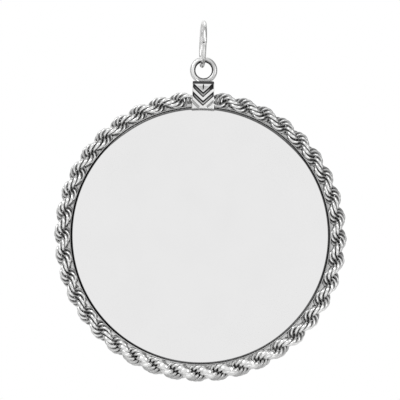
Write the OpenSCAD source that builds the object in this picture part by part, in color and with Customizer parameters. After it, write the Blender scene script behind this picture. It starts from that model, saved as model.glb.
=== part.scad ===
// Disc pendant: a polished disc in a bezel with a rope border, a chevron clip and a round bail.
// It hangs as worn: +Z is up, the face looks along -Y, and the origin is the inner top of the bail,
// where a chain bears. Lengths are millimetres.

/* [Disc] */
// Diameter of the disc
disc_d = 38; // [34:0.1:42]
// Thickness of the disc
disc_t = 1; // [0.8:0.05:1.2]
// Radius of the rounding round both edges of the disc
disc_edge = 0.25; // [0.1:0.01:0.35]

/* [Bezel] */
// Thickness of the wall round the disc
wall_t = 0.15; // [0.12:0.01:0.2]
// How far the wall stands above the disc's face
wall_proud = 0.05; // [0.02:0.01:0.1]
// Width of the ledge behind the disc's rim
ledge_w = 0.55; // [0.3:0.05:1]
// Thickness of the flange behind the rope
flange_t = 0.2; // [0.15:0.01:0.3]

/* [Rope border] */
// Diameter of the rope chain
rope_d = 2.34; // [2.2:0.01:2.5]
// How far each end of the rope is tucked into the clip
rope_tuck = 0.5; // [0.3:0.05:0.7]

/* [Chevron clip] */
// Width of the clip at its lower end
clip_w = 3.34; // [3.1:0.01:3.6]
// Width of the clip at its upper end
clip_top_w = 3.18; // [3:0.01:3.3]
// How far the clip reaches in over the disc's rim
clip_over = 0.34; // [0.3:0.01:0.45]
// How far the clip stands out beyond the rope
clip_out = 1.24; // [1:0.01:1.4]
// Metal of the clip in front of the rope and behind the flange
clip_skin = 0.29; // [0.27:0.01:0.4]
// Rounding of the clip's upright edges
clip_round = 0.35; // [0.2:0.01:0.4]
// Rounding of the clip's upper shoulders
clip_shoulder = 0.4; // [0.3:0.01:0.45]
// Width of a chevron groove at the surface
groove_w = 0.5; // [0.4:0.01:0.55]
// Width of a chevron groove at its floor
groove_floor_w = 0.24; // [0.15:0.01:0.3]
// Depth of a chevron groove
groove_depth = 0.17; // [0.1:0.01:0.18]
// Slope of the chevrons' legs, in degrees
groove_slope = 43.5; // [38:0.5:46]
// Distance from one chevron to the next
groove_pitch = 1.24; // [1.15:0.01:1.3]
// Number of chevrons
groove_count = 3; // [2:1:3]
// Length of the upright slit above the chevrons
slit_l = 0.8; // [0.5:0.05:0.9]
// Width of the upright slit
slit_w = 0.16; // [0.1:0.01:0.2]

/* [Soldered ring] */
// Outer diameter of the ring on top of the clip
ring_d = 4.12; // [3.8:0.01:4.4]
// Wire of the ring on top of the clip
ring_wire = 0.84; // [0.7:0.01:0.95]
// How deep the ring is let into the top of the clip
ring_sunk = 0.15; // [0.12:0.01:0.4]

/* [Bail] */
// Outer diameter of the bail
bail_d = 7.1; // [6.5:0.05:7.5]
// Wire of the bail
bail_wire = 0.62; // [0.5:0.01:0.7]
// Turn of the bail away from the line of sight, in degrees
bail_turn = 5; // [0:0.5:10]
// Height of the nick where the bail's two ends meet
nick_h = 0.24; // [0.15:0.01:0.3]
// Depth of the nick
nick_depth = 0.06; // [0.03:0.01:0.08]
// Angle of the nick above the middle of the front limb, in degrees
nick_rise = -10; // [-15:1:10]

/* [Fit] */
// Gap between pieces that don't move apart
seat_gap = 0.03; // [0.02:0.01:0.04]
// Gap between the bail and the ring that hangs on it
hang_gap = 0.12; // [0.1:0.01:0.15]
// How far the middle of the pendant hangs to the right of the bail
hang_aside = 0.18; // [0:0.01:0.25]

/* [Hidden] */
$fn = 96;
bite = 1; // how far a cutter runs past what it cuts

disc_r = disc_d / 2;
face_w = disc_t / 2; // the disc's front face, towards the viewer from its mid plane

wall_in = disc_r + seat_gap + 0.01;
wall_out = wall_in + wall_t;
wall_front = face_w + wall_proud;

rope_r = wall_out + seat_gap + rope_d / 2; // radius of the rope's centre line
rope_out = rope_r + rope_d / 2;

flange_front = -rope_d / 2 - seat_gap;
flange_back = flange_front - flange_t;
ledge_front = -face_w - seat_gap;
ledge_in = disc_r - ledge_w;

clip_in = disc_r - clip_over;
clip_top = rope_out + clip_out;
clip_front = rope_d / 2 + clip_skin + seat_gap;
clip_back = flange_back - clip_skin;
clip_depth = clip_front - clip_back;
clip_half_angle = asin(clip_w / 2 / rope_r);
tuck_angle = rope_tuck / rope_r * 180 / PI;
rope_end_angle = clip_half_angle - tuck_angle; // half of the arc that the rope leaves open
pocket_end_angle = rope_end_angle - seat_gap / rope_r * 180 / PI;
pocket_mouth_angle = clip_half_angle + 1;

groove_first = clip_top - clip_shoulder - 1.78; // tip of the first chevron's middle line
slit_wheel_r = 0.95;
slit_sink = slit_wheel_r - sqrt(slit_wheel_r ^ 2 - (slit_l / 2) ^ 2);
slit_mid = clip_top - clip_shoulder - 0.55;

ring_r = (ring_d - ring_wire) / 2;
ring_mid = clip_top - ring_sunk + ring_d / 2;

bail_r = (bail_d - bail_wire) / 2;
bail_in_r = bail_r - bail_wire / 2;
hang_r = ring_wire / 2 + bail_wire / 2 + hang_gap;
hang_drop = sqrt((ring_r - hang_r) ^ 2 - hang_aside ^ 2); // from the bail's wire down to the ring's middle

hinge_z = -bail_in_r - bail_r; // centre of the bail's wire at its lowest point
disc_z = hinge_z - hang_drop - ring_mid; // centre of the disc

// Children are drawn flat, centred on the disc, and stood up to face the viewer
module on_pendant() {
    translate([hang_aside, 0, disc_z]) rotate([90, 0, 0]) children();
}

// Rectangle from one corner to the other
module span(low, high) {
    translate(low) square(high - low);
}

// Rectangle with its four corners rounded
module rounded_span(low, high, r) {
    span([low.x + r, low.y], [high.x - r, high.y]);
    span([low.x, low.y + r], [high.x, high.y - r]);
    for (x = [low.x + r, high.x - r], y = [low.y + r, high.y - r]) translate([x, y]) circle(r = r);
}

// Arc of a round bar about the disc's axis, from one angle to another
module bar_arc(from, to, d) {
    rotate([0, 0, from]) rotate_extrude(angle = to - from) translate([rope_r, 0]) circle(d = d);
}

// Section of the disc from its axis to its rim
module disc_section() {
    span([0, -face_w], [disc_r - disc_edge, face_w]);
    span([0, -face_w + disc_edge], [disc_r, face_w - disc_edge]);
    for (w = [-face_w + disc_edge, face_w - disc_edge]) translate([disc_r - disc_edge, w]) circle(r = disc_edge);
}

// Section of the bezel: wall with a rounded lip, ledge behind the disc, flange behind the rope
module bezel_section() {
    span([wall_in, flange_back], [wall_out, wall_front - wall_t / 2]);
    translate([wall_in + wall_t / 2, wall_front - wall_t / 2]) circle(d = wall_t);
    span([ledge_in, flange_back], [wall_in + wall_t / 2, ledge_front]);
    span([ledge_in, flange_back], [rope_r - flange_t / 2, flange_front]);
    translate([rope_r - flange_t / 2, flange_back + flange_t / 2]) circle(d = flange_t);
}

// Room that the clip leaves for the bezel and the disc
module bezel_room_section() {
    span([clip_in - bite, flange_back - seat_gap], [wall_out + seat_gap, wall_front + seat_gap]);
    span([clip_in - bite, flange_back - seat_gap], [rope_r + seat_gap, flange_front + seat_gap]);
}

// Half of one chevron groove, cut off at the clip's middle line
module groove_leg(tip) {
    leg_l = clip_w;
    depth = groove_depth + bite;
    top_w = groove_floor_w + (groove_w - groove_floor_w) / groove_depth * depth;
    intersection() {
        translate([0, tip, clip_front - groove_depth])
            rotate([0, 0, groove_slope])
                rotate([90, 0, 90])
                    translate([0, 0, -leg_l / 2])
                        linear_extrude(height = 2 * leg_l)
                            polygon([
                                [-groove_floor_w / 2, 0],
                                [groove_floor_w / 2, 0],
                                [top_w / 2, depth],
                                [-top_w / 2, depth]
                            ]);
        translate([0, tip - 2 * leg_l, clip_front - bite]) cube([2 * leg_l, 4 * leg_l, 2 * bite]);
    }
}

// Chevron groove with its tip down
module groove(tip) {
    groove_leg(tip);
    mirror([1, 0, 0]) groove_leg(tip);
}

// Outer form of the clip: tapered, with rounded upright edges and shoulders
module clip_block() {
    low = clip_in - 0.08;
    intersection() {
        translate([0, 0, clip_back - bite])
            linear_extrude(height = clip_depth + 2 * bite)
                polygon([
                    [-clip_w / 2, low], [clip_w / 2, low],
                    [clip_top_w / 2, clip_top], [-clip_top_w / 2, clip_top]
                ]);
        rotate([-90, 0, 0])
            translate([0, 0, low])
                linear_extrude(height = clip_top - low)
                    rounded_span([-clip_w / 2, -clip_front], [clip_w / 2, -clip_back], clip_round);
        rotate([0, 90, 0])
            translate([0, 0, -clip_w / 2])
                linear_extrude(height = clip_w)
                    rounded_span([-clip_front, low], [-clip_back, clip_top], clip_shoulder);
    }
}

module disc() {
    color("gainsboro") on_pendant() rotate_extrude() disc_section();
}

module bezel() {
    color("silver") on_pendant() rotate_extrude() bezel_section();
}

module rope_border() {
    color("darkgray") on_pendant() bar_arc(90 + rope_end_angle, 450 - rope_end_angle, rope_d);
}

module chevron_clip() {
    color("lightgray") on_pendant() {
        difference() {
            clip_block();
            cylinder(h = 4 * clip_depth, r = clip_in, center = true);
            rotate_extrude() bezel_room_section();
            for (side = [0, 1]) mirror([side, 0, 0])
                bar_arc(90 + pocket_end_angle, 90 + pocket_mouth_angle, rope_d + 2 * seat_gap);
            for (i = [0 : groove_count - 1]) groove(groove_first - i * groove_pitch);
            translate([0, slit_mid, clip_front + slit_wheel_r - slit_sink])
                rotate([0, 90, 0]) cylinder(h = slit_w, r = slit_wheel_r, center = true);
        }
        translate([0, ring_mid, 0]) rotate_extrude() translate([ring_r, 0]) circle(d = ring_wire);
    }
}

module bail() {
    nick_at = bail_r + bail_wire / 2 - nick_depth + nick_h / 2;
    color("silver")
        rotate([0, 0, bail_turn]) translate([0, 0, -bail_in_r]) rotate([0, 90, 0])
            difference() {
                rotate_extrude() translate([bail_r, 0]) circle(d = bail_wire);
                rotate([0, 0, -90 - nick_rise]) translate([nick_at, 0, 0])
                    cylinder(h = 2 * bail_wire, d = nick_h, center = true);
            }
}

disc();
bezel();
rope_border();
chevron_clip();
bail();
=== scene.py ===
import math
import random

import bmesh
import bpy
import numpy as np
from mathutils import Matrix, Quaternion, Vector


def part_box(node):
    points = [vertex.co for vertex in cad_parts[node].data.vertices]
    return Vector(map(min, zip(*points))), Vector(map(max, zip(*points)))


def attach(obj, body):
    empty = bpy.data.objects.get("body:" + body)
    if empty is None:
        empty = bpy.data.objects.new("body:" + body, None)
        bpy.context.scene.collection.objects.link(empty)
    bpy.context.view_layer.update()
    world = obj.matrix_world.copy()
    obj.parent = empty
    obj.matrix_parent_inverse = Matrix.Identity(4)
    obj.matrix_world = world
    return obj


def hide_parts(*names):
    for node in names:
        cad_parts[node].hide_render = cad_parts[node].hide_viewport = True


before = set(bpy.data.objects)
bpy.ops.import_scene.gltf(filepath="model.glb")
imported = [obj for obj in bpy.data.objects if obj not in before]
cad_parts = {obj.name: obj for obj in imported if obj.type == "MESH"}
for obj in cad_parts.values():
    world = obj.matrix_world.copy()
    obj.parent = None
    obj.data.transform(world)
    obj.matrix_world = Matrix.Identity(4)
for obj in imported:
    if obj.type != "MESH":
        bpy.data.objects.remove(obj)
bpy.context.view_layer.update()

mm = 0.001
discLow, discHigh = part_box("disc")
discMiddle = (discLow + discHigh) / 2


# Shapes are drawn as the face is seen: x right, y up, z towards the viewer, in mm from the disc's middle
def stand(points, middle=discMiddle):
    p = np.asarray(points, float).reshape(-1, 3) * mm
    return np.column_stack((p[:, 0], -p[:, 2], p[:, 1])) + np.array(middle)


# A piece's points, back in the way that shapes are drawn
def drawnPoints(piece):
    p = np.zeros(3 * len(piece.data.vertices), np.float32)
    piece.data.vertices.foreach_get("co", p)
    p = (p.reshape(-1, 3) - np.array(discMiddle)) / mm
    return np.column_stack((p[:, 0], p[:, 2], -p[:, 1]))


sharpAbove = 55  # degrees between two faces, from which their edge stays sharp


def meshPiece(name, points, faces, middle=discMiddle):
    mesh = bpy.data.meshes.new(name)
    mesh.from_pydata(stand(points, middle).tolist(), [], faces)
    tidy = bmesh.new()
    tidy.from_mesh(mesh)
    bmesh.ops.recalc_face_normals(tidy, faces=tidy.faces)
    tidy.to_mesh(mesh)
    tidy.free()
    mesh.shade_smooth()
    mesh.set_sharp_from_angle(angle=math.radians(sharpAbove))
    piece = bpy.data.objects.new(name, mesh)
    bpy.context.scene.collection.objects.link(piece)
    return piece


def writeMask(piece, name, values):
    layer = piece.data.attributes.new(name, "FLOAT", "POINT")
    layer.data.foreach_set("value", np.clip(np.asarray(values, np.float32), 0, 1))


def smooth(low, high, value):
    t = np.clip((np.asarray(value, float) - low) / (high - low), 0, 1)
    return t * t * (3 - 2 * t)


# Sides of the disc where the painted shade looks different: the angle of each, and the cosines where it
# begins and is full
discSides = {"top": (88, 0.6, 0.82), "low": (-68, 0.6, 0.85), "left": (186, 0.5, 0.85),
             "right": (0, 0.5, 0.8), "lowerLeft": (230, 0.75, 0.95)}


# 1 for points that lie towards one of those sides, and 0 elsewhere
def towards(points, side):
    p = np.asarray(points)
    angle, low, high = discSides[side]
    return smooth(low, high, np.cos(np.arctan2(p[:, 1], p[:, 0]) - math.radians(angle)))


# A section's corners are (radius, height, rounding), and each rounding becomes a short arc
def roundedSection(corners, steps=6):
    line = []
    for i, (r, z, rounding) in enumerate(corners):
        here = np.array((r, z), float)
        if rounding <= 0:
            line.append(here)
            continue
        before = np.array(corners[i - 1][:2], float) - here
        after = np.array(corners[(i + 1) % len(corners)][:2], float) - here
        before, after = before / np.linalg.norm(before), after / np.linalg.norm(after)
        half = math.acos(np.clip(before @ after, -1, 1)) / 2
        reach = rounding / math.tan(half)
        centre = here + (before + after) / np.linalg.norm(before + after) * rounding / math.sin(half)
        start, end = here + before * reach - centre, here + after * reach - centre
        turn = math.atan2(start[0] * end[1] - start[1] * end[0], start @ end)
        for k in range(steps + 1):
            a = turn * k / steps
            line.append(centre + (start[0] * math.cos(a) - start[1] * math.sin(a),
                                  start[0] * math.sin(a) + start[1] * math.cos(a)))
    return [tuple(p) for p in line]


# Faces between rings of points; the last ring is joined to the first if the tube is closed
def tubeFaces(rings, count, closed=True):
    faces = []
    for k in range(rings if closed else rings - 1):
        for j in range(count):
            n, m = (j + 1) % count, (k + 1) % rings
            faces.append((k * count + j, k * count + n, m * count + n, m * count + j))
    return faces


# One face over each end of an open tube
def endFaces(rings, count):
    return [tuple(range(count)), tuple(range((rings - 1) * count, rings * count))]


# A section is turned about the disc's axis, all round or from one angle to another with both ends closed
def turned(section, steps, start=0, end=360):
    whole = end - start >= 360
    rings = steps if whole else steps + 1
    count = len(section)
    points = []
    for k in range(rings):
        a = math.radians(start + (end - start) * k / steps)
        points += [(r * math.cos(a), r * math.sin(a), z) for r, z in section]
    faces = tubeFaces(rings, count, whole)
    if not whole:
        faces += endFaces(rings, count)
    return points, faces


def cutter(name, section, steps, start, end):
    return meshPiece(name, *turned(section, steps, start, end))


def cutAway(piece, tools):
    for tool in tools:
        step = piece.modifiers.new(tool.name, "BOOLEAN")
        step.operation, step.solver, step.object = "DIFFERENCE", "EXACT", tool
    bpy.context.view_layer.update()
    made = bpy.data.meshes.new_from_object(piece.evaluated_get(bpy.context.evaluated_depsgraph_get()))
    piece.modifiers.clear()
    piece.data = made
    for tool in tools:
        bpy.data.objects.remove(tool)


def addNode(tree, kind, place, **values):
    node = tree.nodes.new(kind)
    node.location = place
    for name, value in values.items():
        if hasattr(node, name):
            setattr(node, name, value)
        else:
            node.inputs[name.replace("_", " ")].default_value = value
    return node


# A socket takes another node's output, or a value of its own
def feed(tree, socket, source):
    if isinstance(source, bpy.types.NodeSocket):
        tree.links.new(source, socket)
    else:
        socket.default_value = source


def addMath(tree, place, operation, *sources, **values):
    node = addNode(tree, "ShaderNodeMath", place, operation=operation, **values)
    for socket, source in zip(node.inputs, sources):
        feed(tree, socket, source)
    return node.outputs["Value"]


def addRange(tree, place, source, low, high, toLow=0.0, toHigh=1.0, **values):
    node = addNode(tree, "ShaderNodeMapRange", place, **values)
    labels = ("Value", "From Min", "From Max", "To Min", "To Max")
    for label, value in zip(labels, (source, low, high, toLow, toHigh)):
        feed(tree, node.inputs[label], value)
    return node.outputs["Result"]


# A mix node's sockets for numbers and those for colours have their own places
def addMix(tree, place, kind, share, first, second):
    node = addNode(tree, "ShaderNodeMix", place, data_type=kind)
    start, end = (6, 2) if kind == "RGBA" else (2, 0)
    feed(tree, node.inputs["Factor"], share)
    feed(tree, node.inputs[start], first)
    feed(tree, node.inputs[start + 1], second)
    return node.outputs[end]


def newGroup(name, inputs, outputs):
    group = bpy.data.node_groups.new(name, "ShaderNodeTree")
    for label, kind, value in inputs:
        socket = group.interface.new_socket(name=label, in_out="INPUT", socket_type=kind)
        socket.default_value = value
    for label, kind in outputs:
        group.interface.new_socket(name=label, in_out="OUTPUT", socket_type=kind)
    return group, group.nodes.new("NodeGroupInput"), group.nodes.new("NodeGroupOutput")


# Buffing haze and fine scratches, which every polished surface has
def buildPolishGroup():
    group, given, result = newGroup(
        "handPolish",
        [("Roughness", "NodeSocketFloat", 0.06), ("Haze", "NodeSocketFloat", 0.05),
         ("Haze Size", "NodeSocketFloat", 900.0), ("Scratches", "NodeSocketFloat", 0.3),
         ("Scratch Size", "NodeSocketFloat", 2500.0)],
        [("Roughness", "NodeSocketFloat"), ("Height", "NodeSocketFloat"), ("Haze", "NodeSocketFloat")])
    links = group.links.new
    where = addNode(group, "ShaderNodeTexCoord", (-900, 0))
    cloud = addNode(group, "ShaderNodeTexNoise", (-600, 200), Detail=4.0, Roughness=0.55)
    links(where.outputs["Object"], cloud.inputs["Vector"])
    links(given.outputs["Haze Size"], cloud.inputs["Scale"])
    spread = addRange(group, (-400, 200), cloud.outputs["Fac"], 0.35, 0.7)
    # scratches are long one way
    stretch = addNode(group, "ShaderNodeMapping", (-750, -200))
    stretch.inputs["Rotation"].default_value = (0.3, 0.7, 0.2)
    stretch.inputs["Scale"].default_value = (1.0, 1.0, 0.07)
    links(where.outputs["Object"], stretch.inputs["Vector"])
    lines = addNode(group, "ShaderNodeTexNoise", (-600, -200), Detail=6.0, Roughness=0.7)
    links(stretch.outputs["Vector"], lines.inputs["Vector"])
    links(given.outputs["Scratch Size"], lines.inputs["Scale"])
    thin = addRange(group, (-400, -200), lines.outputs["Fac"], 0.55, 0.75)
    haze = addMath(group, (-200, 200), "MULTIPLY", spread, given.outputs["Haze"])
    scratch = addMath(group, (-200, -200), "MULTIPLY", thin, given.outputs["Scratches"])
    rough = addMath(group, (0, 200), "ADD", given.outputs["Roughness"], haze)
    links(addMath(group, (180, 200), "MULTIPLY_ADD", scratch, 0.1, rough), result.inputs["Roughness"])
    links(scratch, result.inputs["Height"])
    links(spread, result.inputs["Haze"])
    return group


# Tarnish and painted shade from each piece's mask, in grooves, between wires and elsewhere, broken up by a
# fine grain
def buildTarnishAndShadeGroup():
    group, given, result = newGroup(
        "tarnishAndPaintedShade",
        [("Mask", "NodeSocketFloat", 0.0), ("Clean", "NodeSocketColor", (0.9, 0.9, 0.9, 1)),
         ("Tarnish And Shade", "NodeSocketColor", (0.03, 0.03, 0.032, 1)), ("Clean Roughness", "NodeSocketFloat", 0.08),
         ("Tarnish Roughness", "NodeSocketFloat", 0.4), ("Grain", "NodeSocketFloat", 0.3),
         ("Grain Size", "NodeSocketFloat", 6000.0)],
        [("Color", "NodeSocketColor"), ("Roughness", "NodeSocketFloat"), ("Amount", "NodeSocketFloat")])
    links = group.links.new
    where = addNode(group, "ShaderNodeTexCoord", (-900, 0))
    grain = addNode(group, "ShaderNodeTexNoise", (-700, 0), Detail=3.0, Roughness=0.6)
    links(where.outputs["Object"], grain.inputs["Vector"])
    links(given.outputs["Grain Size"], grain.inputs["Scale"])
    centred = addMath(group, (-500, 0), "SUBTRACT", grain.outputs["Fac"], 0.5)
    strength = addMath(group, (-350, 0), "MULTIPLY", centred, given.outputs["Grain"])
    # the grain acts where the mask is between clean and dark
    inverse = addMath(group, (-500, -200), "SUBTRACT", 1.0, given.outputs["Mask"])
    between = addMath(group, (-350, -200), "MULTIPLY", given.outputs["Mask"], inverse)
    wearAndShade = addMath(group, (-200, -100), "MULTIPLY", strength, between)
    amount = addMath(group, (-50, 0), "MULTIPLY_ADD", wearAndShade, 4.0, given.outputs["Mask"], use_clamp=True)
    tone = addMix(group, (150, 100), "RGBA", amount, given.outputs["Clean"], given.outputs["Tarnish And Shade"])
    rough = addMix(group, (150, -150), "FLOAT", amount,
                   given.outputs["Clean Roughness"], given.outputs["Tarnish Roughness"])
    links(tone, result.inputs["Color"])
    links(rough, result.inputs["Roughness"])
    links(amount, result.inputs["Amount"])
    return group


polishGroup = buildPolishGroup()
tarnishAndShadeGroup = buildTarnishAndShadeGroup()
print("shared finishes ready")


# Polished metal: haze and scratches from one group, tarnish and painted shade by the piece's own mask from
# the other
def metalFinish(name, look):
    material = bpy.data.materials.new(name)
    material.use_nodes = True
    tree = material.node_tree
    tree.nodes.clear()
    links = tree.links.new
    end = addNode(tree, "ShaderNodeOutputMaterial", (900, 0))
    metal = addNode(tree, "ShaderNodeBsdfPrincipled", (600, 0))
    metal.inputs["Metallic"].default_value = 1.0
    links(metal.outputs["BSDF"], end.inputs["Surface"])
    polish = addNode(tree, "ShaderNodeGroup", (-300, -100))
    polish.node_tree = polishGroup
    for label in ("Roughness", "Haze", "Haze Size", "Scratches", "Scratch Size"):
        polish.inputs[label].default_value = look[label]
    tarnishAndShade = addNode(tree, "ShaderNodeGroup", (100, 100))
    tarnishAndShade.node_tree = tarnishAndShadeGroup
    mask = addNode(tree, "ShaderNodeAttribute", (-300, 300), attribute_name="tarnishAndShade")
    links(mask.outputs["Fac"], tarnishAndShade.inputs["Mask"])
    hazy = addMix(tree, (-100, 150), "RGBA", polish.outputs["Haze"], (*look["Clean"], 1), (*look["Hazy"], 1))
    links(hazy, tarnishAndShade.inputs["Clean"])
    tarnishAndShade.inputs["Tarnish And Shade"].default_value = (*look["Tarnish And Shade"], 1)
    for label in ("Tarnish Roughness", "Grain", "Grain Size"):
        tarnishAndShade.inputs[label].default_value = look[label]
    links(polish.outputs["Roughness"], tarnishAndShade.inputs["Clean Roughness"])
    links(tarnishAndShade.outputs["Color"], metal.inputs["Base Color"])
    links(tarnishAndShade.outputs["Roughness"], metal.inputs["Roughness"])
    dents = addNode(tree, "ShaderNodeBump", (350, -250))
    dents.inputs["Strength"].default_value = look["Bump"]
    dents.inputs["Distance"].default_value = look["Bump Depth"]
    links(polish.outputs["Height"], dents.inputs["Height"])
    links(dents.outputs["Normal"], metal.inputs["Normal"])
    return material


silver = {"Clean": (0.93, 0.93, 0.925), "Hazy": (0.915, 0.915, 0.91), "Tarnish And Shade": (0.03, 0.03, 0.031),
          "Roughness": 0.06, "Haze": 0.04, "Haze Size": 700.0, "Scratches": 0.4, "Scratch Size": 3000.0,
          "Tarnish Roughness": 0.38, "Grain": 0.6, "Grain Size": 9000.0, "Bump": 0.15, "Bump Depth": 2e-6}


def putOn(piece, body, node, material):
    piece.data.materials.clear()
    piece.data.materials.append(material)
    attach(piece, body)
    if node:
        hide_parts(node)


discShape = {"radius": 19.0, "halfThick": 0.5, "rim": 0.25, "dish": 0.006, "steps": 288, "rimSteps": 9,
             "faceRings": (0.15, 4, 8, 12, 15, 17, 18, 18.4, 18.48, 18.54, 18.6, 18.66, 18.72),
             "seat": (18.75, 18.81), "seatTopWider": 0.155, "seatRightWider": 0.04, "seatTopPaler": 0.12,
             "outer": (18.82, 18.9), "rimTopPaler": 0.5, "rimLowPaler": 0.32, "rimRightPaler": 0.12,
             "clipEdge": (18.54, 18.6), "clipAngle": (6.2, 5.2), "clipEdgeTone": 0.35}


def buildDisc():
    s = discShape
    flat = s["radius"] - s["rim"]
    rings = [*s["faceRings"], flat]
    front = [(r, s["halfThick"] - s["dish"] * (1 - (r / flat) ** 2)) for r in rings]
    rim = []
    for k in range(1, 2 * s["rimSteps"]):
        a = math.pi / 2 - math.pi / 2 * k / s["rimSteps"]
        z = s["halfThick"] - s["rim"] if a >= 0 else -s["halfThick"] + s["rim"]
        rim.append((flat + s["rim"] * math.cos(a), z + s["rim"] * math.sin(a)))
    rim.insert(s["rimSteps"], (s["radius"], -s["halfThick"] + s["rim"]))
    back = [(r, -s["halfThick"]) for r in reversed(rings)]
    section = front + rim + back
    count, steps = len(section), s["steps"]
    points, faces = turned(section, steps)
    # the section is open at the axis, where two small faces close it
    faces = [f for i, f in enumerate(faces) if i % count != count - 1]
    faces.append(tuple(k * count for k in range(steps)))
    faces.append(tuple(k * count + count - 1 for k in range(steps)))
    disc = meshPiece("PolishedDisc", points, faces)
    p = np.asarray(points)
    distance = np.hypot(p[:, 0], p[:, 1])
    # the dark line at its rim is painted shade, wider above and at the right, and paler above, below and at
    # the right
    top, low, right = (towards(p, side) for side in ("top", "low", "right"))
    line = smooth(*s["seat"], distance + s["seatTopWider"] * top + s["seatRightWider"] * right)
    paler = (s["rimTopPaler"] - s["seatTopPaler"]) * top + s["rimLowPaler"] * low + s["rimRightPaler"] * right
    line = line * (1 - s["seatTopPaler"] * top - smooth(*s["outer"], distance) * paler)
    # a fine line of shade lies along the clip's lower edge
    fromTop = np.degrees(np.abs(np.arctan2(p[:, 0], p[:, 1])))
    edge = smooth(*s["clipEdge"], distance) * smooth(*s["clipAngle"], fromTop) * s["clipEdgeTone"]
    writeMask(disc, "tarnishAndShade", np.maximum(line, edge))
    return disc


disc = buildDisc()
discFinish = metalFinish("polishedSilverFace", {
    **silver, "Clean": (0.943, 0.941, 0.942), "Hazy": (0.928, 0.926, 0.927), "Roughness": 0.05,
    "Haze": 0.03, "Haze Size": 160.0, "Scratches": 0.25, "Scratch Size": 900.0, "Bump": 0.05})
putOn(disc, "pendant", "disc", discFinish)
print("disc:", len(disc.data.polygons), "faces")


bezelShape = {"inner": 19.04, "outer": 19.19, "lip": 0.55, "ledgeInner": 18.45, "ledgeFront": -0.53,
              "flangeFront": -1.20, "flangeBack": -1.40, "flangeOuter": 20.39, "steps": 288,
              "lipRound": 0.07, "footRound": 0.05, "flangeRound": 0.09, "ledgeRound": 0.1,
              "inside": (19.07, 19.05), "insideDepth": (-1.0, -0.7), "leftWider": 0.05,
              "insideTopPaler": 0.65, "insideLowPaler": 0.6, "insideRightPaler": 0.25,
              "frontHeight": (-1.36, -1.3), "frontFrom": (18.55, 18.65), "lipHeight": (0.3, 0.45),
              "lipTone": 0.5, "trenchTone": 0.12, "lowerLeftPaler": 0.24,
              "seam": ((19.15, -0.06), (19.26, -0.08), (19.5, -0.08), (19.78, -0.08), (19.88, -0.18),
                       (19.92, -0.5), (19.15, -0.5)),
              "seamHalfAngle": 5.0, "seamTone": 0.38, "seamLowTone": 0.26}


def buildBezel():
    s = bezelShape
    section = roundedSection([
        (s["inner"], s["lip"], s["lipRound"]),
        (s["outer"], s["lip"], s["lipRound"]),
        (s["outer"], s["flangeFront"], s["footRound"]),
        (s["flangeOuter"], s["flangeFront"], s["flangeRound"]),
        (s["flangeOuter"], s["flangeBack"], s["flangeRound"]),
        (s["ledgeInner"], s["flangeBack"], s["ledgeRound"]),
        (s["ledgeInner"], s["ledgeFront"], s["ledgeRound"]),
        (s["inner"], s["ledgeFront"], 0.0)])
    points, faces = turned(section, s["steps"])
    # solder fills the angle between the wall and the rope, all round but for the clip
    seam, seamFaces = turned(s["seam"], s["steps"], 90 + s["seamHalfAngle"], 450 - s["seamHalfAngle"])
    wall = len(points)
    points += seam
    faces += [tuple(wall + i for i in face) for face in seamFaces]
    bezel = meshPiece("DiscBezel", points, faces)
    p = np.asarray(points)
    distance, height = np.hypot(p[:, 0], p[:, 1]), p[:, 2]
    top, low, left, right = (towards(p, side) for side in ("top", "low", "left", "right"))
    # painted shade: the wall is darkest inside, along the disc's rim
    inside = smooth(*s["inside"], distance - s["leftWider"] * left) * smooth(*s["insideDepth"], height)
    inside = inside * (1 - s["insideTopPaler"] * top - s["insideLowPaler"] * low
                       - s["insideRightPaler"] * right * (1 - low))
    # the lip, the trench under the rope and the solder in it are greyed as painted shade, the solder paler
    # below
    tone = s["trenchTone"] + (s["lipTone"] - s["trenchTone"]) * smooth(*s["lipHeight"], height)
    tone = tone * smooth(*s["frontHeight"], height) * smooth(*s["frontFrom"], distance)
    tone[wall:] = s["seamTone"] + (s["seamLowTone"] - s["seamTone"]) * low[wall:]
    # its painted shade is paler at the lower left
    tone = tone - s["lowerLeftPaler"] * towards(p, "lowerLeft")
    writeMask(bezel, "tarnishAndShade", np.maximum(inside, tone))
    return bezel


bezel = buildBezel()
bezelFinish = metalFinish("polishedSilverBezel", {**silver, "Roughness": 0.1})
putOn(bezel, "pendant", "bezel", bezelFinish)
print("bezel:", len(bezel.data.polygons), "faces")


ropeShape = {"ropeRadius": 20.39, "outside": 1.17, "wire": 0.43, "linksPerLobe": 6, "lobeAngle": 9.0,
             "firstPeak": 1.15, "drift": 1.05, "driftFrom": 135.0, "endAngle": 3.45, "lean": 2.0,
             "around": 32, "across": 12, "jitter": 0.012, "twistJitter": 2, "leanJitter": 1.5,
             "stretched": 1.12, "shifted": -0.15, "wallOuter": 19.2, "underLip": (0.67, 0.57),
             "lowestPart": (-0.97, -0.7), "looseLow": 0.3, "wideLow": 0.8, "flatLow": 0.6, "crowding": 0.7,
             # how much painted shade the wires get: deep in the rope, on their flanks, near the wall and
             # outside
             "deep": (0.72, 0.35), "deepTone": 0.46, "flank": (0.38, -0.05), "flankTone": 0.75,
             "flankLow": 0.25, "deepLow": (0.52, 0.34), "deepLowTone": 0.78, "ribbonSide": 230,
             "ribbon": (-0.2, 0.6), "ribbonWider": 0.26, "humpFacing": (0.4, 0.9), "hump": (0.1, 0.6),
             "humpTone": 0.45, "nearWall": (-0.5, -0.85), "nearWallTone": 0.13, "rim": (0.2, 0.6),
             "rimSide": 40, "rimPart": (0.45, 0.85), "rimTone": 0.3}
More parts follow.
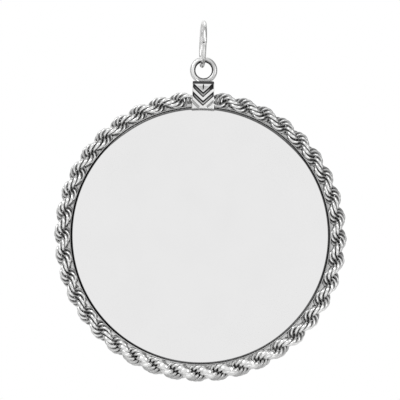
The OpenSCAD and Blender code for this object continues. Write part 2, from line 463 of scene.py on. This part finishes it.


# Painted shade and dark reflection: bright at the crest of each wire, darker on its flanks and in the rope's
# inside
def linkTones(link, theta, psi, high, crest):
    s = ropeShape
    inPlane = np.hypot(link[:, 0], link[:, 1]) - s["ropeRadius"]
    fromAxis = np.hypot(inPlane, link[:, 2])
    # at the rope's lowest part the links that cross the front look like one band, with edges darkened as
    # painted shade
    wider = s["ribbonWider"] * float(smooth(*s["ribbon"], math.cos(2 * psi - math.radians(s["ribbonSide"]))))
    deepest, least = s["deepLow"]
    deep = high * s["deepTone"] * smooth(*s["deep"], fromAxis) \
        + (1 - high) * s["deepLowTone"] * smooth(deepest + wider, least + wider, fromAxis)
    # and those that face the viewer are greyer outside, as painted shade
    facing = float(smooth(*s["humpFacing"], abs(math.cos(psi))))
    hump = (1 - high) * s["humpTone"] * facing * smooth(*s["hump"], inPlane)
    wearAndShade = s["flankLow"] + (1 - s["flankLow"]) * high
    flank = s["flankTone"] * wearAndShade * smooth(*s["flank"], crest)
    tone = np.maximum(np.maximum(deep, flank), hump)
    # painted shade where the wires meet the wall, and outside at the upper right
    upperRight = float(smooth(*s["rimPart"], math.cos(theta - math.radians(s["rimSide"]))))
    wallAndRimShade = high * s["nearWallTone"] * smooth(*s["nearWall"], inPlane) \
        + s["rimTone"] * smooth(*s["rim"], inPlane) * upperRight
    return 1 - (1 - tone) * (1 - wallAndRimShade)


def buildRope():
    s = ropeShape
    rng = random.Random(11)
    step = s["lobeAngle"] / s["linksPerLobe"]
    ringRadius = s["outside"] - s["wire"] / 2
    reach = math.degrees(ringRadius / s["ropeRadius"])
    span = 360 - 2 * s["endAngle"] - 2 * reach
    count = int(span // step) + 1
    first = 90 - s["endAngle"] - reach - (span - (count - 1) * step) / 2
    a = np.linspace(0, 2 * np.pi, s["around"], endpoint=False)[:, None]
    b = np.linspace(0, 2 * np.pi, s["across"], endpoint=False)[None, :]
    crest = (np.cos(b) + 0 * a).reshape(-1)
    viewer = np.array((0.0, 0.0, 1.0))
    quads = tubeFaces(s["around"], s["across"])
    points, faces, mask = [], [], []
    for k in range(count):
        angle = first - k * step
        theta = math.radians(angle)
        high = float(smooth(*s["lowestPart"], math.sin(theta)))  # 0 at the rope's lowest part, 1 elsewhere
        # the wires lie crowded there, and are rubbed flat where they face outwards
        crowded = (1 - high) * np.abs(np.sin(a))[..., None] ** s["crowding"]
        wide = 1 + s["wideLow"] * crowded
        rise = np.cos(b)[..., None]
        rise = np.sign(rise) * np.abs(rise) ** (1 - s["flatLow"] * crowded)
        out = np.array((math.cos(theta), math.sin(theta), 0.0))
        along = np.array((math.sin(theta), -math.cos(theta), 0.0))
        loose = s["looseLow"] + (1 - s["looseLow"]) * high
        # psi is the link's turn about the rope: 0 at a lobe's crest, 90 degrees where it crosses the front
        drift = s["drift"] * (math.cos(math.radians(angle - s["driftFrom"])) - 1)
        psi = -math.radians(180 / s["lobeAngle"] * (angle - s["firstPeak"] - drift)
                            + loose * rng.uniform(-s["twistJitter"], s["twistJitter"]))
        u = math.cos(psi) * out + math.sin(psi) * viewer
        v = np.cross(along, u)
        lean = math.radians(s["lean"] + loose * rng.uniform(-s["leanJitter"], s["leanJitter"]))
        t = along * math.cos(lean) - v * math.sin(lean)
        side = np.cross(t, u)
        shake = np.array([rng.uniform(-1, 1) for _ in range(3)])
        middle = out * s["ropeRadius"] + shake * s["jitter"] * loose
        radial = np.cos(a)[..., None] * t + np.sin(a)[..., None] * u
        ring = middle + radial * (ringRadius + s["wire"] / 2 * rise) \
            + side * (s["wire"] / 2 * wide * np.sin(b)[..., None])
        link = ring.reshape(-1, 3)
        start = k * s["around"] * s["across"]
        faces += [tuple(start + q for q in quad) for quad in quads]
        mask.append(linkTones(link, theta, psi, high, crest))
        # the rope is a little wider than deep: its wires lean over the wall's lip and rest against the wall
        inPlane = np.hypot(link[:, 0], link[:, 1]) - s["ropeRadius"]
        wider = s["ropeRadius"] + s["shifted"] + inPlane * s["stretched"]
        wider = wider + np.maximum(0, s["wallOuter"] - wider) * smooth(*s["underLip"], link[:, 2])
        scale = wider / (inPlane + s["ropeRadius"])
        points.append(link * np.column_stack((scale, scale, np.ones_like(scale))))
    rope = meshPiece("RopeLinks", np.vstack(points), faces)
    writeMask(rope, "tarnishAndShade", np.concatenate(mask))
    print("rope:", count, "links")
    return rope


rope = buildRope()
ropeFinish = metalFinish("ropeWireSilver", {**silver, "Clean": (0.86, 0.86, 0.855), "Roughness": 0.16})
putOn(rope, "pendant", "rope_border", ropeFinish)
print("rope:", len(rope.data.polygons), "faces")


ringShape = {"middle": 24.71, "radius": 1.64, "wire": 0.84, "around": 96, "across": 24,
             "inner": (-0.3, -0.62), "innerTone": 0.92, "outer": (0.7, 0.97), "outerTone": 0.1,
             "right": (-0.2, 0.9), "rightTone": 0.2, "low": (-0.8, -0.95), "lowTone": 0.42}


def buildRing():
    s = ringShape
    points, tones = [], []
    for i in range(s["around"]):
        a = math.tau * i / s["around"]
        for j in range(s["across"]):
            b = math.tau * j / s["across"]
            r = s["radius"] + s["wire"] / 2 * math.cos(b)
            points.append((r * math.cos(a), s["middle"] + r * math.sin(a), s["wire"] / 2 * math.sin(b)))
            # painted shade: it is dark inside, a little at its outer edge, and darker on its right and where
            # it stands on the clip
            tones.append(max(s["innerTone"] * float(smooth(*s["inner"], math.cos(b))),
                             s["outerTone"] * float(smooth(*s["outer"], math.cos(b))),
                             s["rightTone"] * float(smooth(*s["right"], math.cos(a))),
                             s["lowTone"] * float(smooth(*s["low"], math.sin(a)))))
    ring = meshPiece("SolderedRing", points, tubeFaces(s["around"], s["across"]))
    writeMask(ring, "tarnishAndShade", tones)
    return ring


clipShape = {"low": 18.58, "top": 22.80, "halfLow": 1.67, "halfTop": 1.59, "front": 1.49, "back": -1.69,
             "corner": 0.2, "leastCorner": 0.05, "shoulder": 0.4, "sideShoulder": 0.14, "rows": 100,
             "shoulderRows": 12, "frontPoints": 84, "sidePoints": 12, "cornerPoints": 8,
             "cutsBehind": 0.3, "cutsFade": (0.16, 0.02), "shoulderTone": 0.95, "shoulderFrom": 0.5,
             "shoulderEdge": 0.04, "shoulderFront": (0.6, 0.8), "solder": 0.1, "solderReach": 0.16,
             "underDisc": 18.66, "underTone": 0.5, "gap": 0.03, "sharpAbove": 50,
             # what is cut into its front, and how dark it is painted: tarnish in the cuts, with painted shade
             # and painted highlight
             "tips": (20.65, 19.35, 18.18), "depths": (0.17, 0.17, 0.06), "ends": (1.42, 1.7, 1.7),
             "halves": (0.295, 0.295, 0.225), "floorTones": (0.74, 0.62, 0.5), "slope": 43.5,
             "floorHalf": 0.1, "tipRound": 0.0016, "margin": 0.07, "edgeFrom": -0.03, "edgeTo": 0.02,
             "wall": (0.04, 0.14), "tipShine": 0.18, "tipWide": 0.3, "rightShine": 0.08,
             "rightArm": (0.1, 0.4), "endShade": 0.2, "armEnds": (0.9, 1.3), "cornerX": (0.7, 1.0),
             "cornerY": (21.3, 21.6), "cornerShade": 0.3, "cornerWider": 0.05, "lastFrom": (0.4, 0.6),
             "lastRightArm": (0, 0.5), "mottle": 0.2, "crown": 0.014, "crownWide": 0.2,
             "slitMid": 21.85, "slitLength": 0.88, "slitHalf": 0.15, "slitDepth": 0.14,
             "slitWall": (0.2, 1.0), "fieldTone": 0.36, "fieldDepth": 0.02,
             "fieldFrom": (0.345, 0.415), "fieldTop": (22.03, 21.93)}


# Distance from a chevron's middle line, rounded at its tip, and how far above and along the line a point is
def grooveAt(x, y, tip, end):
    slope = math.radians(clipShape["slope"])
    beside = np.sqrt(x * x + clipShape["tipRound"])
    across = (y - tip) * math.cos(slope) - beside * math.sin(slope)
    along = beside * math.cos(slope) + (y - tip) * math.sin(slope)
    return np.hypot(across, np.maximum(0, along - end / math.cos(slope))), across, along


# How deep the clip's front is cut at a point, and how dark it is painted: tarnish with painted shade and
# painted highlight
def clipFront(x, y):
    s = clipShape
    dig, dark = np.zeros_like(x), np.zeros_like(x)
    nearest = np.full_like(x, np.inf)
    halfWidth = s["halfLow"] + (s["halfTop"] - s["halfLow"]) * (y - s["low"]) / (s["top"] - s["low"])
    # the first groove's upper right end is wider and blacker, with painted shade
    corner = smooth(*s["cornerX"], x) * smooth(*s["cornerY"], y)
    for k, (tip, depth, half) in enumerate(zip(s["tips"], s["depths"], s["halves"])):
        away, across, along = grooveAt(x, y, tip, s["ends"][k])
        away = np.maximum(away - s["cornerWider"] * corner, half - halfWidth + s["margin"] + np.abs(x))
        cut = 1 - smooth(s["floorHalf"], half, away)
        inside = 1 - smooth(half + s["edgeFrom"], half + s["edgeTo"], away)
        tone = s["floorTones"][k]
        if k < 2:
            # walls are black with tarnish and painted shade; the floor has a painted highlight at its tip and
            # right arm, and painted shade at its upper right corner and its ends
            floor = tone - s["tipShine"] * np.exp(-(x / s["tipWide"]) ** 2) \
                - s["rightShine"] * smooth(*s["rightArm"], x) + s["cornerShade"] * corner \
                + s["endShade"] * smooth(*s["armEnds"], np.abs(x))
            floor = floor + (1 - floor) * smooth(*s["wall"], away)
            dark = np.maximum(dark, inside * np.minimum(1, floor))
        else:
            # the last chevron is shallow, and worn away round its tip
            left = smooth(*s["lastFrom"], np.abs(x))
            cut, inside = cut * left, inside * left
            # what is left in it is mottled, by waves that cross, with painted shade on its right arm
            spots = np.sin(23.0 * along + 9.0 * across) * np.sin(17.0 * across - 6.0 * along + 1.0)
            tone = tone + s["rightShine"] * smooth(*s["lastRightArm"], x) + s["mottle"] * spots
            dark = np.maximum(dark, inside * tone)
        dig = np.maximum(dig, depth * cut)
        nearest = np.minimum(nearest, away - half)
    # lens-shaped upright slit, painted black inside as shade
    tall = np.clip(1 - ((y - s["slitMid"]) / (s["slitLength"] / 2)) ** 2, 0, 1)
    slitWidth = np.maximum(s["slitHalf"] * np.sqrt(tall), 1e-4)
    slit = (1 - smooth(*s["slitWall"], np.abs(x) / slitWidth)) * (tall > 0)
    dig = np.maximum(dig, s["slitDepth"] * slit * np.sqrt(tall))
    dark = np.maximum(dark, slit)
    # ridges are slightly crowned, and the part above the first chevron is hollowed towards the slit
    crown = s["crown"] * (1 - smooth(0.0, s["crownWide"], nearest))
    _, over, _ = grooveAt(x, y, s["tips"][0], s["ends"][0])
    field = smooth(*s["fieldFrom"], over) * smooth(*s["fieldTop"], y)
    dig = dig + crown + s["fieldDepth"] * field
    dark = np.maximum(dark, s["fieldTone"] * field)
    return dig, dark


# One level of the clip's outline, from the middle of its front left corner
def clipLoop(halfX, front, back, corner, y):
    s = clipShape
    quarter = s["cornerPoints"]
    corners = [(-halfX + corner, front - corner, math.pi), (halfX - corner, front - corner, math.pi / 2),
               (halfX - corner, back + corner, 0.0), (-halfX + corner, back + corner, -math.pi / 2)]
    turns = [math.pi / 2 * k / quarter for k in range(quarter + 1)]
    arcs = [[(cx + corner * math.cos(start - turn), cz + corner * math.sin(start - turn)) for turn in turns]
            for cx, cz, start in corners]
    line = []
    for i, arc in enumerate(arcs):
        line += arc if i else arc[quarter // 2:]
        near, far = arc[-1], arcs[(i + 1) % 4][0]
        steps = s["frontPoints"] if i % 2 == 0 else s["sidePoints"]
        line += [(near[0] + (far[0] - near[0]) * k / steps, near[1] + (far[1] - near[1]) * k / steps)
                 for k in range(1, steps)]
    line += arcs[0][:quarter // 2]
    return [(x, y, z) for x, z in line]


def buildClip():
    s = clipShape
    height = s["top"] - s["low"]
    # how high each level is, and how far in the front and the sides are there
    levels = [(s["low"] + (height - s["shoulder"]) * k / s["rows"], 0.0, 0.0) for k in range(s["rows"] + 1)]
    for k in range(1, s["shoulderRows"] + 1):
        a = math.pi / 2 * k / s["shoulderRows"]
        y = s["top"] - s["shoulder"] * (1 - math.sin(a))
        share = min(1.0, max(0.0, y - (s["top"] - s["sideShoulder"])) / s["sideShoulder"])
        inSide = s["sideShoulder"] * (1 - math.sqrt(1 - share ** 2))
        levels.append((y, s["shoulder"] * (1 - math.cos(a)), inSide))
    loops = []
    for y, inDepth, inSide in levels:
        half = s["halfLow"] + (s["halfTop"] - s["halfLow"]) * (y - s["low"]) / height
        corner = max(s["leastCorner"], s["corner"] - 0.5 * inSide)
        loops.append(clipLoop(half - inSide, s["front"] - inDepth, s["back"] + inDepth, corner, y))
    count = len(loops[0])
    p = np.array(loops)
    x, y, z = p[..., 0], p[..., 1], p[..., 2]
    dig, dark = clipFront(x, y)
    # cuts fade out round the front's two upright edges
    ahead = (z > s["front"] - s["cutsBehind"]) & (y < s["top"] - s["shoulder"] + 0.02)
    fade = smooth(s["front"] - s["cutsFade"][0], s["front"] - s["cutsFade"][1], z)
    p[..., 2] = np.where(ahead, z - dig * fade, z)
    # shade stays on the front shoulder, under the soldered ring
    edge, half = s["top"] - s["shoulderFrom"], s["shoulderEdge"]
    shoulder = s["shoulderTone"] * smooth(edge - half, edge + half, y) * smooth(*s["shoulderFront"], z)
    tarnishAndShade = np.maximum(np.where(ahead, dark * fade, 0.0), shoulder)
    points = [tuple(q) for q in p.reshape(-1, 3)]
    tones = list(tarnishAndShade.reshape(-1))
    # the bottom is one face, and the top a grid that runs smoothly between its four edges
    faces = [*tubeFaces(len(levels), count, closed=False), tuple(range(count))]
    wide, deep = s["frontPoints"] + s["cornerPoints"], s["sidePoints"] + s["cornerPoints"]
    last = (len(levels) - 1) * count
    grid = np.zeros((deep + 1, wide + 1), int)
    for i in range(wide + 1):
        grid[0, i] = last + i % count
        grid[deep, wide - i] = last + (wide + deep + i) % count
    for j in range(deep + 1):
        grid[j, wide] = last + (wide + j) % count
        grid[deep - j, 0] = last + (2 * wide + deep + j) % count
    rim = np.array(points)
    for j in range(1, deep):
        for i in range(1, wide):
            a, b = i / wide, j / deep
            q = (1 - b) * rim[grid[0, i]] + b * rim[grid[deep, i]] \
                + (1 - a) * rim[grid[j, 0]] + a * rim[grid[j, wide]] \
                - (1 - a) * (1 - b) * rim[grid[0, 0]] - a * (1 - b) * rim[grid[0, wide]] \
                - (1 - a) * b * rim[grid[deep, 0]] - a * b * rim[grid[deep, wide]]
            grid[j, i] = len(points)
            # solder creeps up where the ring is let in
            fromMiddle = math.hypot(q[0], q[1] - ringShape["middle"])
            toRing = abs(math.hypot(fromMiddle - ringShape["radius"], q[2]) - ringShape["wire"] / 2)
            lift = s["solder"] * math.exp(-(toRing / s["solderReach"]) ** 2)
            points.append((q[0], q[1] + lift, q[2]))
            tones.append(0.0)
    for j in range(deep):
        for i in range(wide):
            faces.append((grid[j, i], grid[j, i + 1], grid[j + 1, i + 1], grid[j + 1, i]))
    clip = meshPiece("ChevronClip", points, [tuple(int(v) for v in f) for f in faces])
    writeMask(clip, "tarnishAndShade", tones)
    # room for the disc and the bezel
    bore = [(0.5, -3), (s["underDisc"], -3), (s["underDisc"], 3), (0.5, 3)]
    inner, back = s["underDisc"] - 1, bezelShape["flangeBack"] - s["gap"]
    wall, lip = bezelShape["outer"] + s["gap"], bezelShape["lip"] + s["gap"]
    flange, front = bezelShape["flangeOuter"] + s["gap"], bezelShape["flangeFront"] + s["gap"]
    room = [(inner, back), (wall, back), (flange, back), (flange, front), (wall, front),
            (wall, lip), (inner, lip)]
    cutAway(clip, [cutter("underDisc", bore, steps=60, start=75, end=105),
                   cutter("bezelRoom", room, steps=48, start=78, end=102)])
    clip.data.set_sharp_from_angle(angle=math.radians(s["sharpAbove"]))
    # its lower edge is shaded where it meets the disc
    p = drawnPoints(clip)
    lowEdge = (np.abs(np.hypot(p[:, 0], p[:, 1]) - s["underDisc"]) < 0.01) & (p[:, 2] > 0.45)
    layer = clip.data.attributes["tarnishAndShade"].data
    tones = np.zeros(len(layer), np.float32)
    layer.foreach_get("value", tones)
    layer.foreach_set("value", np.maximum(tones, s["underTone"] * lowEdge).astype(np.float32))
    return clip


clip = buildClip()
clipFinish = metalFinish("chevronSilver", {**silver, "Roughness": 0.1, "Grain": 1.0, "Grain Size": 14000.0})
putOn(clip, "pendant", "chevron_clip", clipFinish)
print("clip:", len(clip.data.polygons), "faces")

ring = buildRing()
ringFinish = metalFinish("ringSilver", {**silver, "Clean": (0.82, 0.82, 0.82), "Roughness": 0.22})
putOn(ring, "pendant", None, ringFinish)
print("ring:", len(ring.data.polygons), "faces")


bailShape = {"radius": 3.24, "wire": 0.62, "turn": 5.0, "around": 160, "across": 24, "joint": 100.0,
             "slip": 0.05, "nickHalf": 0.1, "nickDepth": 0.14, "nickSide": -0.62, "nickSpread": 0.6,
             "nickTone": 1.6, "flank": (0.1, 0.8), "flankTone": 0.38, "flankToneBack": 0.05,
             "flankToneLow": 0.3, "lowPart": (0.7, 0.95), "frontPart": (-0.2, 0.2),
             "under": (0.935, 0.975), "underTone": 1.0, "bend": (0.6, 0.9), "bendPart": (0.86, 0.95),
             "bendTone": 0.85}


def buildBail():
    s = bailShape
    points, tones = [], []
    for i in range(s["around"]):
        # beta runs from the lower end of the joint, down, round the back and over the top
        share = i / (s["around"] - 1)
        share = 0.5 * share + 0.5 * (0.5 - 0.5 * math.cos(math.pi * share))  # closer steps near the joint
        beta = s["joint"] + 360 * share
        angle = math.radians(beta)
        outward = np.array((0.0, math.cos(angle), math.sin(angle)))  # up and towards the viewer
        slip = -s["slip"] * float(smooth(180, s["joint"], beta)) if beta < 180 else 0.0
        fromJoint = min(share, 1 - share) * math.tau * s["radius"]
        # its right flank is shaded, most near the bottom and hardly at the back
        low = float(smooth(*s["lowPart"], -outward[1]))
        inFront = float(smooth(*s["frontPart"], outward[2]))
        flankTone = s["flankToneBack"] + (s["flankTone"] - s["flankToneBack"]) * inFront
        flankTone = flankTone + (s["flankToneLow"] - flankTone) * low
        bendTone = s["bendTone"] * float(smooth(*s["bendPart"], -outward[1]))
        for j in range(s["across"]):
            b = math.tau * j / s["across"]
            # the two ends meet closely but for a small nick at one side
            aside = (b - s["nickSide"] + math.pi) % math.tau - math.pi
            nick = math.exp(-(fromJoint / s["nickHalf"]) ** 2 - (aside / s["nickSpread"]) ** 2)
            size = s["wire"] / 2 - s["nickDepth"] * nick
            points.append(outward * (s["radius"] + size * math.cos(b))
                          + np.array((size * math.sin(b) + slip, 0.0, 0.0)))
            # painted shade: a dark dot in the nick, and where it bears on the soldered ring, its underside
            # and both its flanks are dark
            tones.append(max(min(1.0, s["nickTone"] * nick),
                             flankTone * float(smooth(*s["flank"], math.sin(b))),
                             s["underTone"] * float(smooth(*s["under"], -outward[1] * math.cos(b))),
                             bendTone * float(smooth(*s["bend"], abs(math.sin(b))))))
    faces = tubeFaces(s["around"], s["across"], closed=False) + endFaces(s["around"], s["across"])
    p = np.array(points)
    turn = math.radians(s["turn"])
    x, z = p[:, 0].copy(), p[:, 2].copy()
    p[:, 0], p[:, 2] = x * math.cos(turn) + z * math.sin(turn), z * math.cos(turn) - x * math.sin(turn)
    # the origin is the inner top of its wire
    bail = meshPiece("RoundBail", p, faces, Vector((0, 0, (s["wire"] / 2 - s["radius"]) * mm)))
    writeMask(bail, "tarnishAndShade", tones)
    return bail


bail = buildBail()
bailFinish = metalFinish("bailSilver", {**silver, "Clean": (0.87, 0.87, 0.865), "Roughness": 0.22})
putOn(bail, "bail", "bail", bailFinish)
print("bail:", len(bail.data.polygons), "faces")


stageShape = {"floorHalf": 1.2, "floorHeight": -0.16, "squares": 24, "paper": (0.92, 0.92, 0.92),
              "roughness": 0.7, "shine": 0.2, "glow": 0.5}


def buildFloor():
    s = stageShape
    mesh = bpy.data.meshes.new("Floor")
    half, row = s["floorHalf"], s["squares"] + 1
    steps = [-half + 2 * half * i / s["squares"] for i in range(row)]
    corners = [j * row + i for j in range(s["squares"]) for i in range(s["squares"])]
    mesh.from_pydata([(x, y, s["floorHeight"]) for y in steps for x in steps], [],
                     [(c, c + 1, c + row + 1, c + row) for c in corners])
    floor = bpy.data.objects.new("Floor", mesh)
    bpy.context.scene.collection.objects.link(floor)
    material = bpy.data.materials.new("paleFloor")
    material.use_nodes = True
    tree = material.node_tree
    paint = tree.nodes["Principled BSDF"]
    paint.inputs["Base Color"].default_value = (*s["paper"], 1)
    paint.inputs["Roughness"].default_value = s["roughness"]
    paint.inputs["Specular IOR Level"].default_value = s["shine"]
    # the paper looks paler to the camera than the light it throws back on the pendant
    paint.inputs["Emission Color"].default_value = (1, 1, 1, 1)
    path = addNode(tree, "ShaderNodeLightPath", (-500, -200))
    glow = addMath(tree, (-300, -200), "MULTIPLY", path.outputs["Is Camera Ray"], s["glow"])
    tree.links.new(glow, paint.inputs["Emission Strength"])
    # and it isn't there when seen from underneath
    side = addNode(tree, "ShaderNodeNewGeometry", (100, 250))
    clear = addNode(tree, "ShaderNodeBsdfTransparent", (100, -250))
    mixed = addNode(tree, "ShaderNodeMixShader", (400, 0))
    tree.links.new(side.outputs["Backfacing"], mixed.inputs["Fac"])
    tree.links.new(paint.outputs["BSDF"], mixed.inputs[1])
    tree.links.new(clear.outputs["BSDF"], mixed.inputs[2])
    tree.links.new(mixed.outputs["Shader"], tree.nodes["Material Output"].inputs["Surface"])
    mesh.materials.append(material)


# How bright each part of the surroundings is
studio = {"behindCamera": 0.868, "softbox": 0.9, "sides": 0.6, "darkBand": 0.25, "back": 0.9,
          "rightShade": 0.55, "rightFrom": (0.2, 0.95), "backLow": 0.55, "backFade": (-0.25, 0.3),
          "backPart": (0.7, 0.9)}


def buildStudio():
    world = bpy.data.worlds.new("softStudio")
    bpy.context.scene.world = world
    world.use_nodes = True
    tree = world.node_tree
    tree.nodes.clear()
    links = tree.links.new
    out = addNode(tree, "ShaderNodeOutputWorld", (900, 0))
    seen = addNode(tree, "ShaderNodeBackground", (500, 150))
    seen.inputs["Color"].default_value = (1, 1, 1, 1)
    room = addNode(tree, "ShaderNodeBackground", (500, -50))
    room.inputs["Color"].default_value = (1, 1, 1, 1)
    choose = addNode(tree, "ShaderNodeMixShader", (700, 0))
    path = addNode(tree, "ShaderNodeLightPath", (500, 450))
    links(path.outputs["Is Camera Ray"], choose.inputs["Fac"])
    links(room.outputs["Background"], choose.inputs[1])
    links(seen.outputs["Background"], choose.inputs[2])
    links(choose.outputs["Shader"], out.inputs["Surface"])
    where = addNode(tree, "ShaderNodeTexCoord", (-700, 0))
    parts = addNode(tree, "ShaderNodeSeparateXYZ", (-500, 0))
    links(where.outputs["Generated"], parts.inputs["Vector"])
    # 0 where the face looks, 1 straight behind the pendant
    turnAway = addMath(tree, (-300, 100), "MULTIPLY_ADD", parts.outputs["Y"], 0.5, 0.5)
    ramp = addNode(tree, "ShaderNodeValToRGB", (-100, 100))
    links(turnAway, ramp.inputs["Fac"])
    stops = [(0.0, "behindCamera"), (0.03, "behindCamera"), (0.06, "softbox"), (0.16, "softbox"),
             (0.3, "sides"), (0.44, "darkBand"), (0.54, "darkBand"), (0.66, "back"), (1.0, "back")]
    for k, (place, part) in enumerate(stops):
        if k < 2:
            stop = ramp.color_ramp.elements[k]
            stop.position = place
        else:
            stop = ramp.color_ramp.elements.new(place)
        stop.color = (studio[part], studio[part], studio[part], 1)
    shade = addRange(tree, (-100, -200), parts.outputs["X"], *studio["rightFrom"], 1.0, studio["rightShade"])
    both = addMath(tree, (100, 0), "MULTIPLY", ramp.outputs["Color"], shade)
    # behind the pendant the light fades downwards
    fade = addRange(tree, (-100, -450), parts.outputs["Z"], *studio["backFade"], studio["backLow"], 1.0,
                    interpolation_type="SMOOTHSTEP")
    behind = addRange(tree, (-100, -700), turnAway, *studio["backPart"], interpolation_type="SMOOTHSTEP")
    faded = addMix(tree, (150, -450), "FLOAT", behind, 1.0, fade)
    links(addMath(tree, (300, -100), "MULTIPLY", both, faded), room.inputs["Strength"])


lights = {"Key": {"place": (-0.22, -0.30, 0.25), "aim": (0, 0, -0.03), "size": 0.22, "watts": 0.3},
          "Fill": {"place": (0.30, -0.25, 0.05), "aim": (0, 0, -0.03), "size": 0.25, "watts": 0.2},
          "Top": {"place": (0.0, 0.05, 0.40), "aim": (0, 0, -0.03), "size": 0.30, "watts": 0.18},
          "Low": {"place": (0.0, -0.10, -0.15), "aim": (0, 0, -0.052), "size": 0.16, "watts": 0.022}}


def buildLights():
    for name, s in lights.items():
        lamp = bpy.data.lights.new(name, "AREA")
        lamp.shape, lamp.size, lamp.energy = "DISK", s["size"], s["watts"]
        holder = bpy.data.objects.new(name, lamp)
        holder.location = s["place"]
        holder.rotation_mode = "QUATERNION"
        holder.rotation_quaternion = (Vector(s["aim"]) - Vector(s["place"])).to_track_quat("-Z", "Y")
        holder.visible_camera = False
        bpy.context.scene.collection.objects.link(holder)


# width is what the picture takes in at the disc, in mm
cameraSetup = {"lens": 135.0, "sensor": 36.0, "width": 58.92, "below": 8.0, "roll": 1.15,
               "aimX": -0.153, "aimUp": 5.06, "near": 0.01, "far": 10}


def buildCamera():
    s = cameraSetup
    data = bpy.data.cameras.new("Camera")
    data.lens, data.sensor_width = s["lens"], s["sensor"]
    holder = bpy.data.objects.new("Camera", data)
    # it looks up at the face from a little below
    below = math.radians(s["below"])
    ahead = Vector((0, math.cos(below), math.sin(below)))
    up = Vector((0, -math.sin(below), math.cos(below)))
    aim = discMiddle + Vector((s["aimX"] * mm, 0, 0)) + up * s["aimUp"] * mm
    holder.location = aim - ahead * s["width"] * mm * s["lens"] / s["sensor"]
    holder.rotation_mode = "QUATERNION"
    holder.rotation_quaternion = (Quaternion((1, 0, 0), math.pi / 2 + below)
                                  @ Quaternion((0, 0, 1), math.radians(s["roll"])))
    data.clip_start, data.clip_end = s["near"], s["far"]
    bpy.context.scene.collection.objects.link(holder)
    bpy.context.scene.camera = holder


buildFloor()
buildStudio()
buildLights()
buildCamera()
bpy.context.scene.view_settings.view_transform = "Standard"
bpy.context.scene.view_settings.look = "None"
print("stage, light and camera ready")
